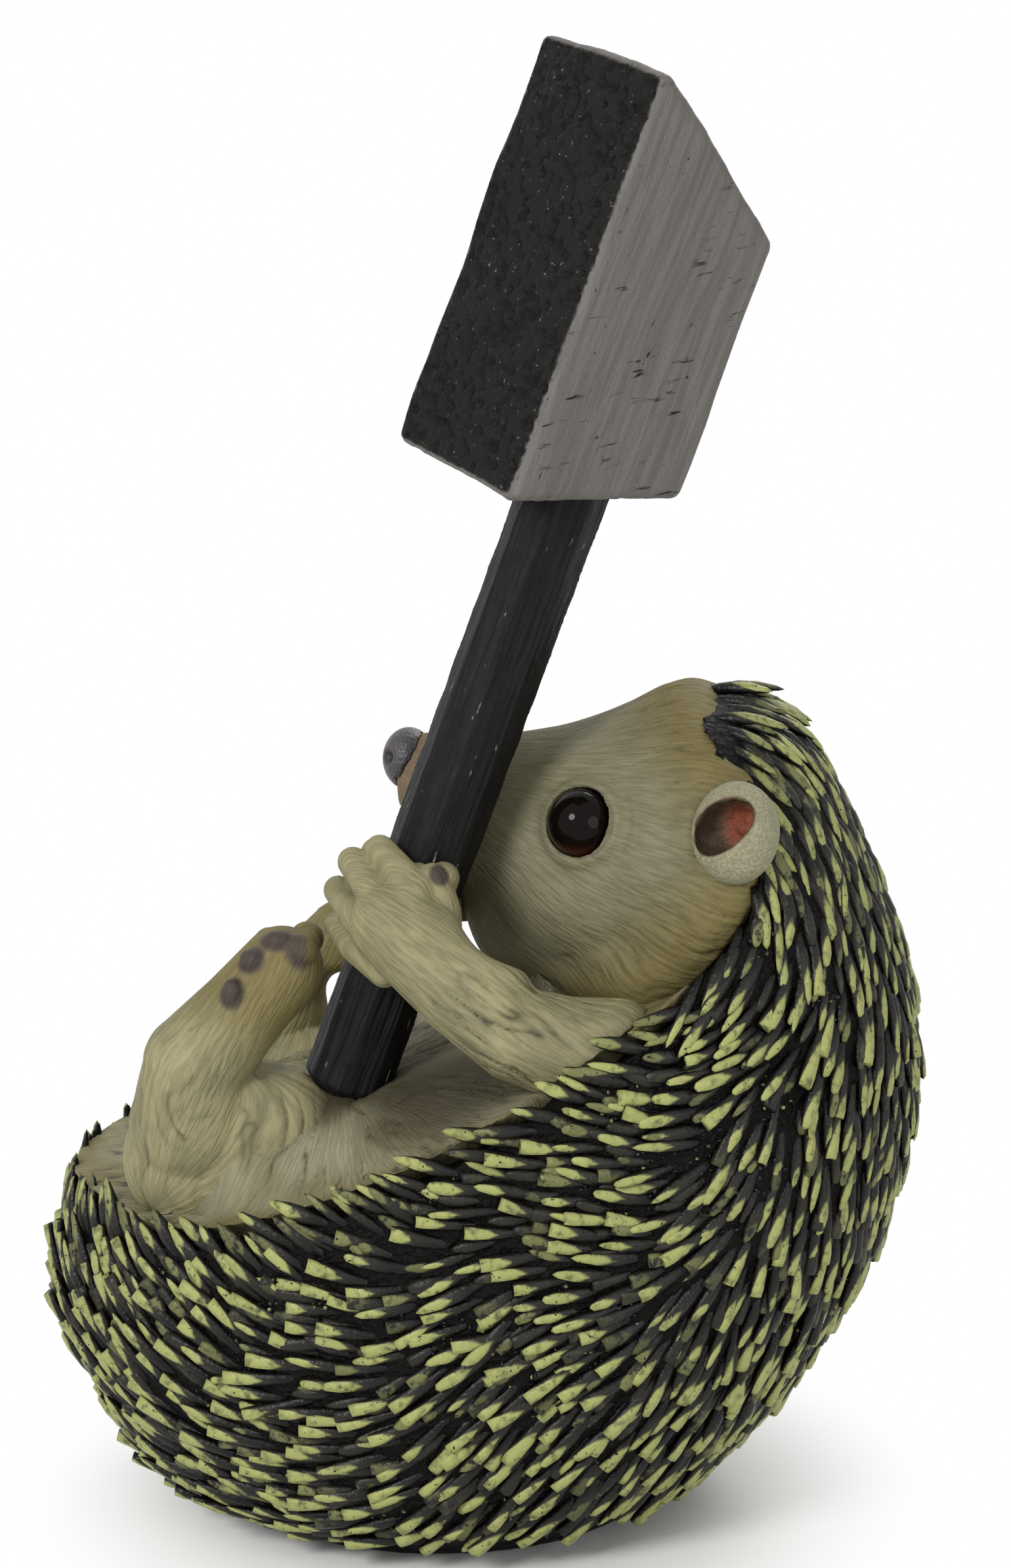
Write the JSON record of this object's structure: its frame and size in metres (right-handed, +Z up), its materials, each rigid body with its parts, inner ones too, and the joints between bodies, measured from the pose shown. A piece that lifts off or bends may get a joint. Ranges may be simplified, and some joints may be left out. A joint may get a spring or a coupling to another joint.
{
  "type": "hedgehog figurine",
  "caption": "Cold-cast resin hedgehog lying curled on its quilled back, holding a mallet upright in its front paws.",
  "frame": {"origin": "middle of the figurine's outline on the ground plane", "axes": "+Z up; snout towards -X; the animal's left side, which holds the near side of the mallet, towards -Y"},
  "size_m": [0.1397, 0.099, 0.2278],
  "materials": {
    "quills": "painted cold-cast resin, dark with pale dry-brushed quills",
    "fur": "painted cold-cast resin, matt carved fur",
    "ears": "painted cold-cast resin, pink inside",
    "nose": "satin dark painted resin",
    "eyes": "polished dark brown glass",
    "mallet_stick": "charcoal painted resin with faint grain",
    "mallet_block": "painted resin, grainy dark face, brushed grey sides",
    "pins": "plain steel wire",
    "plug": "matt black"
  },
  "bodies": {
    "root": {"quill_coat": "quills", "base_plug": "plug", "belly": "fur", "head": "fur", "nose": "nose", "neck_pin": "pins", "mallet_handle": "mallet_stick", "mallet_head": "mallet_block", "handle_pin": "pins", "left_eye": "eyes", "left_ear": "ears", "left_arm": "fur", "left_leg": "fur", "left_arm_pin": "pins", "left_leg_pin": "pins", "right_eye": "eyes", "right_ear": "ears", "right_arm": "fur", "right_leg": "fur", "right_arm_pin": "pins", "right_leg_pin": "pins"}
  },
  "joints": []
}
